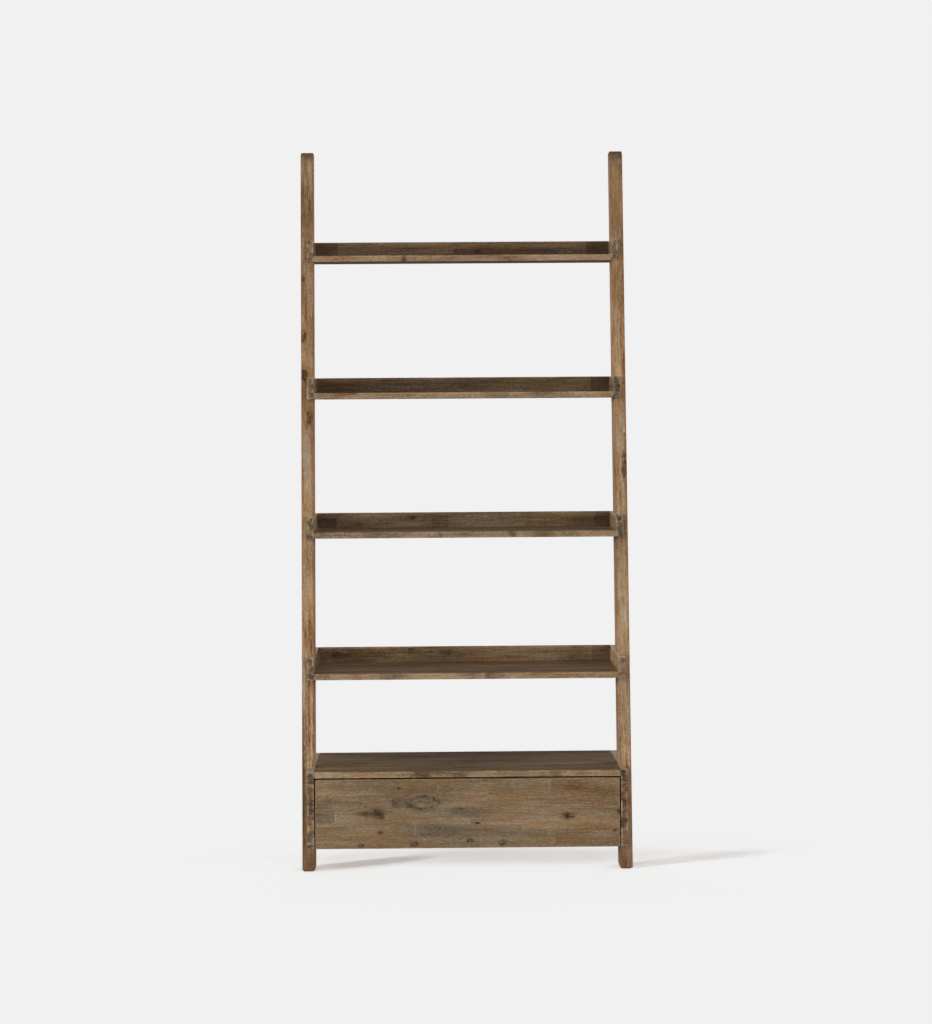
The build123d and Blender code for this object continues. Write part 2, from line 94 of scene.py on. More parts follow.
acaciaFigure = {  # what all boards share, with lengths in millimetres
    "rowWave": 2.4, "rowSlide": 6.3,  # rows of staves differ in width and are slid along
    "noiseStart": (2.3, 5.1, 0.7), "wildStart": (1.7, 0.9, 0),  # each board reads noise at its own place
    "ownPlace": (900, 110, 150),  # how far apart its staves grew
    "grainRough": 0.6,  # roughness of the grain noises
    "raggedGrain": (13, 8, 8), "raggedDetail": 3.0, "raggedRough": 0.65,  # noise on the edge of a knot
    "strayFar": (26, 13, 0), "strayNear": (16, 8, 3),  # how far that edge strays
    "pull": 0.8, "pullReach": (0.3, 3.2),  # how a knot pushes the grain aside, in knot sizes
    "wildKnot": (9, 5), "wildSize": (0.02, 1.2),  # half length and half height, and the range of sizes
    "wildScatter": 0.9,  # how far from a regular grid the wild knots lie
    "ringGap": 7.0, "ringAlong": 0.03, "ringBend": 9.0,  # rings run nearly straight along a stave
    "paleTone": 1.5, "leastLevel": 0.05, "poreDark": 0.3,  # pale marks, the darkest grain, open pores
    "squareFade": (0.93, 1.02), "softFade": (0.1, 1.25),  # where a mark fades out, in half sizes
    "patchy": (0.6, 1.25), "speckled": 0.35,  # how uneven marks and rubbed edges are
    "halo": 0.34, "haloReach": (0.8, 2.2), "brokenRim": (0.2, 1.1),  # tint round a knot, and its rim
    "seamHalf": 1.0, "buttHalf": 1.2,  # half widths of the glue lines
    "edgeStart": 0.4, "litFacesDeep": 1.0, "sawnDeep": (0.5, 1.5), "rearDeep": (2.0, 0.5),  # under a face
    "soakSpread": 0.3,  # how unevenly sawn ends drink stain
    "dull": (0.66, 0.84),  # roughness of the surface
    "fibreRise": 0.6, "knotSink": -0.5, "poreSink": -0.5, "seamSink": -0.8,  # shares of the relief
    "relief": 0.6, "reliefMetres": 0.0006,  # strength and depth
}
knotRims = {  # how dark it is from the middle out, at shares of two knot sizes
    "dark": [(0.0, 1.0), (0.16, 0.95), (0.27, 0.7), (0.38, 0.95), (0.47, 0.65), (0.56, 0.2), (0.75, 0.0)],
    "eye": [(0.0, 0.2), (0.2, 0.08), (0.38, 0.14), (0.45, 0.8), (0.5, 0.75), (0.57, 0.3), (0.8, 0.0)],
    "ring": [(0.0, 0.55), (0.12, 0.4), (0.28, 0.5), (0.38, 0.95), (0.46, 0.8), (0.53, 0.3), (0.65, 0.0)],
    "heart": [(0.0, 0.8), (0.12, 0.1), (0.24, 0.15), (0.33, 0.75), (0.4, 0.2), (0.48, 0.85), (0.62, 0.0)],
}
knotHalos = {"dark": "rust", "eye": "grey", "ring": "grey", "heart": "grey"}  # the colour round it


def staves(tree, finish, axes, seed):  # rows across the board, cut to lengths, each with its own luck
    row = put(tree, "Math", {0: axes.outputs["Y"], 1: 1 / finish["staveWidth"], 2: finish["staveShift"]},
              operation="MULTIPLY_ADD")
    wave = put(tree, "Math", {0: row, 1: acaciaFigure["rowWave"]}, operation="MULTIPLY")
    wave = put(tree, "Math", {0: wave}, operation="SINE")
    row = put(tree, "Math", {0: wave, 1: finish["staveUneven"], 2: row}, operation="MULTIPLY_ADD")
    rowIndex = put(tree, "Math", {0: row}, operation="FLOOR")
    rowPlace = put(tree, "CombineXYZ", {0: rowIndex, 1: seed})
    slide = put(tree, "TexWhiteNoise", {"Vector": rowPlace}, noise_dimensions="2D")
    slide = put(tree, "Math", {0: slide, 1: acaciaFigure["rowSlide"]}, operation="MULTIPLY")
    column = put(tree, "Math", {0: axes.outputs["X"], 1: 1 / finish["staveLength"], 2: slide},
                 operation="MULTIPLY_ADD")
    columnIndex = put(tree, "Math", {0: column}, operation="FLOOR")
    stavePlace = put(tree, "CombineXYZ", {0: rowIndex, 1: columnIndex, 2: seed})
    stave = put(tree, "TexWhiteNoise", {"Vector": stavePlace}, noise_dimensions="3D").outputs["Color"]
    return row, column, stave, put(tree, "SeparateColor", {0: stave})


def nearest(tree, known, far):  # the nearer of two knots
    if known is None:
        return far
    return put(tree, "Math", {0: known, 1: far}, operation="MINIMUM")


def wildKnots(tree, finish, rough, seed):  # small knots, one cell in a few, sized by the cell's own draw
    cellLong, cellHigh = finish["wildGap"], finish["wildGap"] / 2
    knotLong, knotHigh = acaciaFigure["wildKnot"]
    smallest, largest = acaciaFigure["wildSize"]
    start = [seed * step for step in acaciaFigure["wildStart"]]
    cellPlace = put(tree, "VectorMath", {0: rough, 1: (1 / cellLong, 1 / cellHigh, 0), 2: start},
                    operation="MULTIPLY_ADD")
    cells = put(tree, "TexVoronoi", {"Vector": cellPlace, "Scale": 1.0,
                                     "Randomness": acaciaFigure["wildScatter"]}, voronoi_dimensions="2D")
    away = put(tree, "VectorMath", {0: cellPlace, 1: cells.outputs["Position"]}, operation="SUBTRACT")
    away = put(tree, "VectorMath", {0: away, 1: (cellLong / knotLong, cellHigh / knotHigh, 0)},
               operation="MULTIPLY")
    far = put(tree, "VectorMath", {0: away}, operation="LENGTH").outputs["Value"]
    draw = put(tree, "SeparateColor", {0: cells.outputs["Color"]})
    size = put(tree, "MapRange", {"Value": draw, "From Min": finish["wildRare"], "From Max": 1.0,
                                  "To Min": smallest, "To Max": largest})
    return put(tree, "Math", {0: far, 1: size}, operation="DIVIDE")


def knotsNear(tree, node, finish, place, seed):  # how far each kind of knot is, and the grain it pushes aside
    fine = [1 / size for size in acaciaFigure["raggedGrain"]]
    ragged = put(tree, "VectorMath", {0: place, 1: fine, 2: (seed, 0, 0)}, operation="MULTIPLY_ADD")
    ragged = put(tree, "TexNoise", {"Vector": ragged, "Scale": 1.0, "Detail": acaciaFigure["raggedDetail"],
                                    "Roughness": acaciaFigure["raggedRough"]})
    ragged = put(tree, "VectorMath", {0: ragged.outputs["Color"], 1: noiseMiddle}, operation="SUBTRACT")
    rough = put(tree, "VectorMath", {0: ragged, 1: acaciaFigure["strayFar"], 2: place},
                operation="MULTIPLY_ADD")
    smooth = put(tree, "VectorMath", {0: ragged, 1: acaciaFigure["strayNear"], 2: place},
                 operation="MULTIPLY_ADD")
    bent = place
    reach = {}
    for acrossAt, throughAt, halfHigh, halfThrough in finish["hearts"].get(node, []):
        away = put(tree, "VectorMath", {0: smooth, 1: (0, acrossAt, throughAt)}, operation="SUBTRACT")
        away = put(tree, "VectorMath", {0: away, 1: (0, 1 / halfHigh, 1 / halfThrough)}, operation="MULTIPLY")
        far = put(tree, "VectorMath", {0: away}, operation="LENGTH").outputs["Value"]
        reach["heart"] = nearest(tree, reach.get("heart"), far)
    inner, outer = acaciaFigure["pullReach"]
    for alongAt, acrossAt, halfLong, halfHigh, kind in finish["knots"].get(node, []):
        middle = (alongAt, acrossAt, finish["knotFrom"])
        shrink = (1 / halfLong, 1 / halfHigh, 1 / finish["knotDeep"])
        source = rough if kind == "dark" else smooth
        away = put(tree, "VectorMath", {0: source, 1: middle}, operation="SUBTRACT")
        away = put(tree, "VectorMath", {0: away, 1: shrink}, operation="MULTIPLY")
        far = put(tree, "VectorMath", {0: away}, operation="LENGTH").outputs["Value"]
        if kind == "eye":  # pointed at both ends: the square along plus the size across
            sides = put(tree, "SeparateXYZ", {0: put(tree, "VectorMath", {0: away}, operation="ABSOLUTE")})
            far = put(tree, "Math", {0: sides.outputs["X"], 1: sides.outputs["X"], 2: sides.outputs["Y"]},
                      operation="MULTIPLY_ADD")
        pull = put(tree, "MapRange", {"Value": far, "From Min": inner, "From Max": outer,
                                      "To Min": acaciaFigure["pull"], "To Max": 0.0},
                   interpolation_type="SMOOTHSTEP")
        lean = put(tree, "VectorMath", {0: place, 1: (alongAt, acrossAt, 0)}, operation="SUBTRACT")
        lean = put(tree, "VectorMath", {0: lean, 1: (0, -1, 0)}, operation="MULTIPLY")
        lean = put(tree, "VectorMath", {0: lean, "Scale": pull}, operation="SCALE")
        bent = put(tree, "VectorMath", {0: bent, 1: lean}, operation="ADD")
        reach[kind] = nearest(tree, reach.get(kind), far)
    reach["dark"] = nearest(tree, reach.get("dark"), wildKnots(tree, finish, rough, seed))
    return ragged, rough, bent, reach


def grainNoises(tree, finish, place, bent, stave, seed):  # the grain wanders, and staves grew apart
    noises = {}
    start = [seed * step for step in acaciaFigure["noiseStart"]]
    for key, detail in grainDetail.items():
        markLong, markWide = finish["grain"].get(key, acaciaGrain[key])
        spread = put(tree, "VectorMath", {0: place if key == "blotch" else bent,
                                          1: (1 / markLong, 1 / markWide, 1 / markWide), 2: start},
                     operation="MULTIPLY_ADD")
        noises[key] = put(tree, "TexNoise", {"Vector": spread, "Scale": 1.0, "Detail": detail,
                                             "Roughness": acaciaFigure["grainRough"]})
        if key == "wander":
            drift = put(tree, "VectorMath", {0: noises[key].outputs["Color"], 1: noiseMiddle},
                        operation="SUBTRACT")
            sway = (0, 2 * finish["drift"], 2 * finish["drift"])
            bent = put(tree, "VectorMath", {0: drift, 1: sway, 2: bent}, operation="MULTIPLY_ADD")
            own = put(tree, "VectorMath", {0: stave, 1: noiseMiddle}, operation="SUBTRACT")
            bent = put(tree, "VectorMath", {0: own, 1: acaciaFigure["ownPlace"], 2: bent},
                       operation="MULTIPLY_ADD")
    return noises, bent


def growthRings(tree, bent, noises):  # round each stave's heart, which lies off to one side
    ring = put(tree, "VectorMath", {0: bent, 1: (acaciaFigure["ringAlong"], 1, 1)}, operation="MULTIPLY")
    ring = put(tree, "VectorMath", {0: ring}, operation="LENGTH").outputs["Value"]
    ring = put(tree, "Math", {0: ring, 1: 2 * math.pi / acaciaFigure["ringGap"]}, operation="MULTIPLY")
    ring = put(tree, "Math", {0: noises["patch"], 1: acaciaFigure["ringBend"], 2: ring},
               operation="MULTIPLY_ADD")
    ring = put(tree, "Math", {0: ring}, operation="SINE")
    return put(tree, "Math", {0: ring, 1: 0.5, 2: 0.5}, operation="MULTIPLY_ADD")


def stained(tree, finish, shade, noises, luck):  # olive and warm areas, with some staves greyed
    start, full = grainSpan["warmth"]
    warmth = put(tree, "MapRange", {"Value": noises["patch"], "From Min": start, "From Max": full})
    warmth = put(tree, "Math", {0: luck.outputs["Blue"], 1: finish["staveHue"], 2: warmth},
                 operation="MULTIPLY_ADD")
    middle = finish["warm"] - 0.5 - 0.5 * finish["staveHue"]
    warmth = put(tree, "Math", {0: warmth, 1: middle}, operation="ADD", use_clamp=True)
    colour = put(tree, "Mix", {0: warmth, 1: shade["olive"], 2: shade["warm"]}, data_type="RGBA")
    greyed = put(tree, "MapRange", {"Value": luck.outputs["Green"], "From Min": 1 - finish["greyShare"],
                                    "From Max": 1.0, "To Max": finish["grey"]})
    return put(tree, "Mix", {0: greyed, 1: colour, 2: shade["grey"]}, data_type="RGBA")


def marked(tree, marks, shade, colour, place, rough, noises):  # staves with square ends, and soft stains
    start, full = grainSpan["patchy"]
    least, most = acaciaFigure["patchy"]
    for alongAt, acrossAt, halfLong, halfHigh, key, strength, square in marks:
        away = put(tree, "VectorMath", {0: place if square else rough, 1: (alongAt, acrossAt, 0)},
                   operation="SUBTRACT")
        away = put(tree, "VectorMath", {0: away, 1: (1 / halfLong, 1 / halfHigh, 0)}, operation="MULTIPLY")
        if square:
            sides = put(tree, "SeparateXYZ", {0: put(tree, "VectorMath", {0: away}, operation="ABSOLUTE")})
            far = put(tree, "Math", {0: sides.outputs["X"], 1: sides.outputs["Y"]}, operation="MAXIMUM")
        else:
            far = put(tree, "VectorMath", {0: away}, operation="LENGTH").outputs["Value"]
        inner, outer = acaciaFigure["squareFade" if square else "softFade"]
        mask = put(tree, "MapRange", {"Value": far, "From Min": inner, "From Max": outer,
                                      "To Min": strength, "To Max": 0.0}, interpolation_type="SMOOTHSTEP")
        patchy = put(tree, "MapRange", {"Value": noises["streak"], "From Min": start, "From Max": full,
                                        "To Min": least, "To Max": most})
        mask = put(tree, "Math", {0: mask, 1: patchy}, operation="MULTIPLY", use_clamp=True)
        colour = put(tree, "Mix", {0: mask, 1: colour, 2: shade[key]}, data_type="RGBA")
    return colour


def weathered(tree, finish, shade, colour, noises, ring, luck):  # light and dark, limed, with open pores
    sources = {**noises, "ring": ring, "staveTone": luck.outputs["Red"]}
    level = 1.0
    for key in ("streak", "fibre", "fleck", "ring", "blotch", "staveTone"):
        centred = put(tree, "Math", {0: sources[key], 1: 0.5}, operation="SUBTRACT")
        level = put(tree, "Math", {0: centred, 1: finish[key], 2: level}, operation="MULTIPLY_ADD")
    level = put(tree, "Math", {0: level, 1: acaciaFigure["leastLevel"]}, operation="MAXIMUM")
    level = put(tree, "CombineXYZ", {0: level, 1: level, 2: level})
    greyer = (1, 1 + finish["bleach"] / 2, 1 + finish["bleach"])  # light fibres are greyer
    level = put(tree, "VectorMath", {0: level, 1: greyer}, operation="POWER")
    colour = put(tree, "VectorMath", {0: colour, 1: level}, operation="MULTIPLY")
    start, full = grainSpan["darkLine"]
    line = put(tree, "MapRange", {"Value": noises["streak"], "From Min": start, "From Max": full,
                                  "To Max": finish["darkLine"]})
    colour = put(tree, "Mix", {0: line, 1: colour, 2: shade["dark"]}, data_type="RGBA")
    start, full = grainSpan["lime"]
    lime = put(tree, "MapRange", {"Value": noises["fibre"], "From Min": start, "From Max": full,
                                  "To Max": finish["lime"]})
    colour = put(tree, "Mix", {0: lime, 1: colour, 2: shade["lime"]}, data_type="RGBA")
    start, full = grainSpan["pore"]
    pore = put(tree, "MapRange", {"Value": noises["pore"], "From Min": start, "From Max": full})
    dark = put(tree, "Math", {0: pore, 1: acaciaFigure["poreDark"]}, operation="MULTIPLY")
    return put(tree, "Mix", {0: dark, 1: colour, 2: shade["dark"]}, data_type="RGBA"), pore


def knotted(tree, shade, colour, bump, ragged, reach):  # a smudged heart, a broken rim and a tinted surround
    start, full = grainSpan["broken"]
    least, most = acaciaFigure["brokenRim"]
    broken = put(tree, "MapRange", {"Value": put(tree, "SeparateXYZ", {0: ragged}).outputs["Z"],
                                    "From Min": start, "From Max": full, "To Min": least, "To Max": most})
    inner, outer = acaciaFigure["haloReach"]
    for kind, rimStops in knotRims.items():
        if kind not in reach:
            continue
        around = put(tree, "MapRange", {"Value": reach[kind], "From Min": inner, "From Max": outer,
                                        "To Min": acaciaFigure["halo"], "To Max": 0.0})
        colour = put(tree, "Mix", {0: around, 1: colour, 2: shade[knotHalos[kind]]}, data_type="RGBA")
        near = put(tree, "Math", {0: reach[kind], 1: 0.5}, operation="MULTIPLY")
        order = [rimStops[0], rimStops[-1], *rimStops[1:-1]]  # a new ramp has its two ends
        rim = put(tree, "ValToRGB", {0: near}, stops=[(at, (dark, dark, dark, 1)) for at, dark in order])
        rim = put(tree, "Math", {0: rim, 1: broken}, operation="MULTIPLY")
        colour = put(tree, "Mix", {0: rim, 1: colour, 2: shade["knot"]}, data_type="RGBA")
        bump = put(tree, "Math", {0: rim, 1: acaciaFigure["knotSink"], 2: bump}, operation="MULTIPLY_ADD")
    return colour, bump


def glued(tree, finish, shade, colour, row, column):  # a faint dark line along a stave, a pale one at its end
    rowLine = put(tree, "Math", {0: row, 1: 0.5}, operation="PINGPONG")
    rowLine = put(tree, "MapRange", {"Value": rowLine, "To Min": finish["seam"], "To Max": 0.0,
                                     "From Max": acaciaFigure["seamHalf"] / finish["staveWidth"]})
    colour = put(tree, "Mix", {0: rowLine, 1: colour, 2: shade["dark"]}, data_type="RGBA")
    buttLine = put(tree, "Math", {0: column, 1: 0.5}, operation="PINGPONG")
    buttLine = put(tree, "MapRange", {"Value": buttLine, "To Min": finish["seam"], "To Max": 0.0,
                                      "From Max": acaciaFigure["buttHalf"] / finish["staveLength"]})
    return put(tree, "Mix", {0: buttLine, 1: colour, 2: shade["lime"]}, data_type="RGBA"), rowLine


def wornLitAndSoaked(tree, finish, shade, colour, place, noises, half):  # pale edges, worn and in places painted light, and soaked sawn ends
    inside = put(tree, "VectorMath", {0: half, 1: put(tree, "VectorMath", {0: place}, operation="ABSOLUTE")},
                 operation="SUBTRACT")
    face = put(tree, "SeparateXYZ", {0: inside})
    # the second smallest distance to the board's faces is the distance to an edge
    lower = put(tree, "Math", {0: face.outputs["X"], 1: face.outputs["Y"]}, operation="MINIMUM")
    upper = put(tree, "Math", {0: face.outputs["X"], 1: face.outputs["Y"]}, operation="MAXIMUM")
    edge = put(tree, "Math", {0: upper, 1: face.outputs["Z"]}, operation="MINIMUM")
    edge = put(tree, "Math", {0: lower, 1: edge}, operation="MAXIMUM")
    wornAndLit = put(tree, "MapRange", {"Value": edge, "From Min": acaciaFigure["edgeStart"],
                                    "From Max": finish["wornAndLitWide"], "To Min": 1.0, "To Max": 0.0},
                 interpolation_type="SMOOTHSTEP")
    start, full = grainSpan["uneven"]
    uneven = put(tree, "MapRange", {"Value": noises["patch"], "From Min": start, "From Max": full,
                                    "To Min": 0.0, "To Max": finish["wornAndLitShare"]})
    wornAndLit = put(tree, "Math", {0: wornAndLit, 1: uneven}, operation="MULTIPLY")
    start, full = grainSpan["speckled"]
    speckled = put(tree, "MapRange", {"Value": noises["fleck"], "From Min": start, "From Max": full,
                                      "To Min": acaciaFigure["speckled"]})
    wornAndLit = put(tree, "Math", {0: wornAndLit, 1: speckled}, operation="MULTIPLY")
    colour = put(tree, "Mix", {0: wornAndLit, 1: colour, 2: shade["wornAndLit"]}, data_type="RGBA")
    # pale faces across the board, on side boards their tops: painted light, with some wear
    litFaces = put(tree, "MapRange", {"Value": face.outputs["Y"], "From Min": acaciaFigure["edgeStart"],
                                  "From Max": acaciaFigure["litFacesDeep"],
                                  "To Min": finish["facesLitAndWorn"], "To Max": 0.0})
    colour = put(tree, "Mix", {0: litFaces, 1: colour, 2: shade["wornAndLit"]}, data_type="RGBA")
    start, full = acaciaFigure["sawnDeep"]
    sawn = put(tree, "MapRange", {"Value": face.outputs["X"], "From Min": start, "From Max": full,
                                  "To Min": 1.0, "To Max": 0.0})
    start, full = grainSpan["soak"]
    spread = acaciaFigure["soakSpread"]
    soak = put(tree, "MapRange", {"Value": noises["patch"], "From Min": start, "From Max": full,
                                  "To Min": 1 - spread - finish["endSoak"],
                                  "To Max": 1 + spread - finish["endSoak"]})
    soak = put(tree, "Mix", {0: sawn, 1: 1.0, 2: soak}, data_type="FLOAT")
    return put(tree, "VectorMath", {0: colour, "Scale": soak}, operation="SCALE")


def acacia(node, finish):  # a solid pattern in the board's own frame: along, across, through
    low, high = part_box(node)
    along, across = Vector(finish["along"]).normalized(), Vector(finish["across"])
    turn = Matrix((along, across, along.cross(across)))
    half = finish["half"] or [abs(s) * perMetre / 2 for s in turn @ (high - low)]
    seed = sum(ord(c) * (i + 3) for i, c in enumerate(node)) % 97 + 1.0  # the board's own, from its name
    tone = finish["tones"].get(node, finish["tone"])
    shade = {key: linear(value, tone) for key, value in acaciaColours.items()}
    shade["wornAndLit"] = linear(acaciaColours["wornAndLit"], finish["wornAndLitTone"])
    shade["pale"] = linear(acaciaColours["warm"], acaciaFigure["paleTone"] * tone)
    material, tree = newMaterial(finish["madeAs"] + node)
    place = put(tree, "Mapping", {
        "Vector": put(tree, "TexCoord").outputs["Object"],
        "Location": turn @ ((low + high) / 2) * -perMetre,
        "Rotation": turn.to_euler(),
        "Scale": (perMetre,) * 3,
    })
    axes = put(tree, "SeparateXYZ", {0: place})
    row, column, stave, luck = staves(tree, finish, axes, seed)
    ragged, rough, bent, reach = knotsNear(tree, node, finish, place, seed)
    noises, bent = grainNoises(tree, finish, place, bent, stave, seed)
    ring = growthRings(tree, bent, noises)
    colour = stained(tree, finish, shade, noises, luck)
    colour = marked(tree, finish["marks"].get(node, []), shade, colour, place, rough, noises)
    colour, pore = weathered(tree, finish, shade, colour, noises, ring, luck)
    bump = put(tree, "Math", {0: noises["fibre"], 1: acaciaFigure["fibreRise"]}, operation="MULTIPLY")
    colour, bump = knotted(tree, shade, colour, bump, ragged, reach)
    colour, rowLine = glued(tree, finish, shade, colour, row, column)
    if finish["unshadedRearTone"]:  # a rail's front carries painted shade inside the tray, partly darker wood; its rear gets a lighter tone
        start, full = acaciaFigure["rearDeep"]
        unshadedRear = put(tree, "MapRange", {"Value": axes.outputs["Z"], "From Min": start - half[2],
                                      "From Max": full - half[2], "To Min": 1.0,
                                      "To Max": finish["unshadedRearTone"] / tone})
        colour = put(tree, "VectorMath", {0: colour, "Scale": unshadedRear}, operation="SCALE")
    colour = wornLitAndSoaked(tree, finish, shade, colour, place, noises, half)
    bump = put(tree, "Math", {0: pore, 1: acaciaFigure["poreSink"], 2: bump}, operation="MULTIPLY_ADD")
    bump = put(tree, "Math", {0: rowLine, 1: acaciaFigure["seamSink"], 2: bump}, operation="MULTIPLY_ADD")
    relief = put(tree, "Bump", {"Height": bump, "Strength": acaciaFigure["relief"],
                                "Distance": acaciaFigure["reliefMetres"]})
    start, full = grainSpan["dull"]
    least, most = acaciaFigure["dull"]
    dull = put(tree, "MapRange", {"Value": noises["fibre"], "From Min": start, "From Max": full,
                                  "To Min": least, "To Max": most})
    surface = put(tree, "BsdfPrincipled", {"Base Color": colour, "Roughness": dull, "Normal": relief,
                                           "Specular IOR Level": finish["gloss"]})
    put(tree, "OutputMaterial", {"Surface": surface})
    return material


plainBoard = {  # what a board has unless its own dictionary says otherwise
    "madeAs": "weathered_acacia_", "half": None,  # half its size, where its box doesn't give that
    "staveWidth": 34, "staveLength": 420, "staveShift": 0.3, "staveUneven": 0.22,
    "staveTone": 0.22, "staveHue": 0.4, "greyShare": 0.3, "grey": 0.45, "warm": 0.5,
    "drift": 8, "streak": 1.0, "fibre": 1.4, "fleck": 1.6, "ring": 0.14, "blotch": 0.9, "bleach": 0.3,
    "darkLine": 0.5, "lime": 0.3, "seam": 0.18, "gloss": 0.15,
    "wornAndLitShare": 0.45, "wornAndLitWide": 4.5, "wornAndLitTone": 0.85, "facesLitAndWorn": 0.0, "endSoak": 0.2,
    "tone": 1.0, "tones": {}, "unshadedRearTone": 0,  # how light it is, on some nodes, and behind
    "wildGap": 210, "wildRare": 0.72, "knotFrom": 0, "knotDeep": 5000,  # knots go right through a board
    "grain": {},  # length and width of marks
    "knots": {},  # along, across, half length, half height and kind
    "hearts": {},  # on sawn ends: across, through, half height and half depth
    "marks": {},  # along, across, half length, half height, colour, strength and whether it is square
}

leanAngle = math.radians(8)
postEndsSoakedAndShaded = [  # foot and head darker: soaked end grain, with painted shade on the foot under the box and on the rounded head
    (-1010, 0, 150, 300, "dark", 0.9, False), (985, 0, 50, 300, "grey", 0.6, False),
    (996, 0, 30, 300, "knot", 0.8, False),
]
posts = {
    **plainBoard,
    "nodes": ["left_post", "right_post"],
    "along": (0, math.sin(leanAngle), math.cos(leanAngle)), "across": (1, 0, 0),
    "half": [5000, 17.5, 37.5],  # the slanted ends are left out of the edge distance
    "staveWidth": 200, "staveShift": 0.5, "staveUneven": 0.0, "staveLength": 760, "staveTone": 0.12,
    "streak": 1.4, "fibre": 1.0, "fleck": 1.2, "blotch": 1.3, "darkLine": 0.45, "lime": 0.2, "warm": 0.56,
    "tone": 1.15, "grey": 0.05, "wornAndLitShare": 0.1, "bleach": 0.6, "wildRare": 0.95, "drift": 4,
    "knotFrom": -37.5, "knotDeep": 16,  # knots start on the front face and end inside the post
    "grain": {"streak": (170, 8), "patch": (110, 22), "blotch": (150, 60)},
    "knots": {
        "left_post": [(470, -12, 18, 8, "dark"), (361, -9, 17, 8, "dark"), (241, 6, 18, 9, "dark"),
                      (631, -12, 10, 5, "dark")],
        "right_post": [(114, 10, 26, 6, "dark"), (90, 11, 18, 7, "dark")],
    },
    "marks": {  # painted shade under each tray, where the trays' side boards shade the posts; darker towards the head and beside the box, reddish along the edges
        "left_post": [
            *postEndsSoakedAndShaded,
            # the dark marks at 630, 245, -140 and -525 are painted shade just under the trays
            (880, 0, 170, 300, "dark", 0.3, False), (790, 0, 110, 300, "dark", 0.35, False),
            (630, 0, 100, 300, "dark", 0.4, False), (245, 0, 100, 300, "dark", 0.4, False),
            (-140, 0, 100, 300, "dark", 0.4, False), (-525, 0, 90, 300, "dark", 0.15, False),
            (-820, 0, 120, 300, "dark", 0.3, False), (-610, 6, 140, 300, "pale", 0.3, False),
            (-620, 0, 260, 300, "lime", 0.18, False), (127, 0, 120, 300, "grey", 0.4, False),
            (0, 16, 1600, 6, "rust", 0.75, False), (200, -16, 900, 6, "rust", 0.65, False),
            (-760, -19, 270, 14, "dark", 1.3, False), (-830, -19, 170, 14, "knot", 0.35, False),
        ],
        "right_post": [
            *postEndsSoakedAndShaded,
            # the dark marks at 630, 245, -140 and -525 are painted shade just under the trays
            (880, 0, 170, 300, "dark", 0.45, False), (790, 0, 110, 300, "dark", 0.35, False),
            (630, 0, 100, 300, "dark", 0.4, False), (245, 0, 100, 300, "dark", 0.3, False),
            (-140, 0, 100, 300, "dark", 0.35, False), (-525, 0, 90, 300, "dark", 0.25, False),
            (-820, 0, 120, 300, "dark", 0.3, False), (80, 13, 50, 9, "dark", 0.7, False),
            (-620, 0, 260, 300, "lime", 0.14, False), (127, 0, 120, 300, "dark", 0.15, False),
            (0, 16, 1600, 6, "rust", 0.7, False), (0, -16, 1600, 6, "rust", 0.6, False),
        ],
    },
}
shelves = {
    **plainBoard,
    "nodes": ["lower_tray_shelf", "middle_tray_shelf", "upper_tray_shelf", "top_tray_shelf"],
    "along": (1, 0, 0), "across": (0, 1, 0), "gloss": 0.05, "wildRare": 0.85,
    # the low tones keep the tops dark, partly as painted shade on the upward faces, and the broad pale edges
    # make the front faces lighter, partly wear and partly painted light
    "tones": {"lower_tray_shelf": 0.82, "middle_tray_shelf": 0.66, "upper_tray_shelf": 0.76,
              "top_tray_shelf": 0.8},
    "wornAndLitShare": 0.7, "wornAndLitWide": 18, "wornAndLitTone": 0.81, "grain": {"patch": (110, 30)},
    "streak": 0.6, "fibre": 0.8, "blotch": 1.3, "lime": 0.15, "staveTone": 0.3, "staveHue": 0.3,
    "darkLine": 0.25, "warm": 0.75, "grey": 0.15,
    "marks": {  # small knots and stained lengths on the front edges
        "lower_tray_shelf": [(-300, -158, 26, 6, "rust", 1.0, False), (-190, -158, 50, 6, "dark", 0.8, False),
                             (60, -158, 70, 6, "dark", 0.6, False), (290, -158, 60, 6, "rust", 0.8, False)],
        "middle_tray_shelf": [(-362, -123, 52, 5, "dark", 0.7, False), (-68, -123, 12, 5, "knot", 0.9, False),
                              (130, -123, 12, 5, "knot", 0.9, False), (215, -123, 45, 5, "dark", 0.6, False)],
        "upper_tray_shelf": [(-330, -88, 60, 5, "rust", 0.7, False), (210, -88, 50, 5, "grey", 0.7, False)],
        "top_tray_shelf": [(-163, -53, 9, 5, "knot", 1.0, False), (137, -53, 45, 5, "dark", 0.8, False),
                           (-350, -53, 50, 5, "rust", 0.7, False)],
    },
}
boxTop = {
    **shelves,
    "nodes": ["box_top"], "tone": 0.87, "wornAndLitWide": 12, "streak": 1.0, "fibre": 1.0, "blotch": 1.7,
    "marks": {"box_top": [  # stain gathered at both ends and on the front edge, and painted shade along the back, where the trays above shade the top
        (-413, 0, 3, 300, "knot", 0.35, True), (413, 0, 3, 300, "knot", 0.35, True),
        # the broad dark mark at the back (0, 170) is painted shade
        (0, 170, 560, 190, "dark", 0.95, False), (-25, -200, 34, 6, "grey", 0.6, False),
        (-187, -200, 38, 6, "lime", 0.1, False), (150, -200, 30, 6, "dark", 0.4, False),
        (240, -200, 20, 6, "dark", 0.6, False), (315, -200, 90, 6, "lime", 0.1, False),
        (-122, -200, 26, 6, "dark", 0.8, False),
    ]},
}
paleTop = (0, 25, 900, 9, "pale", 0.7, False)  # the top of a tray's back rail
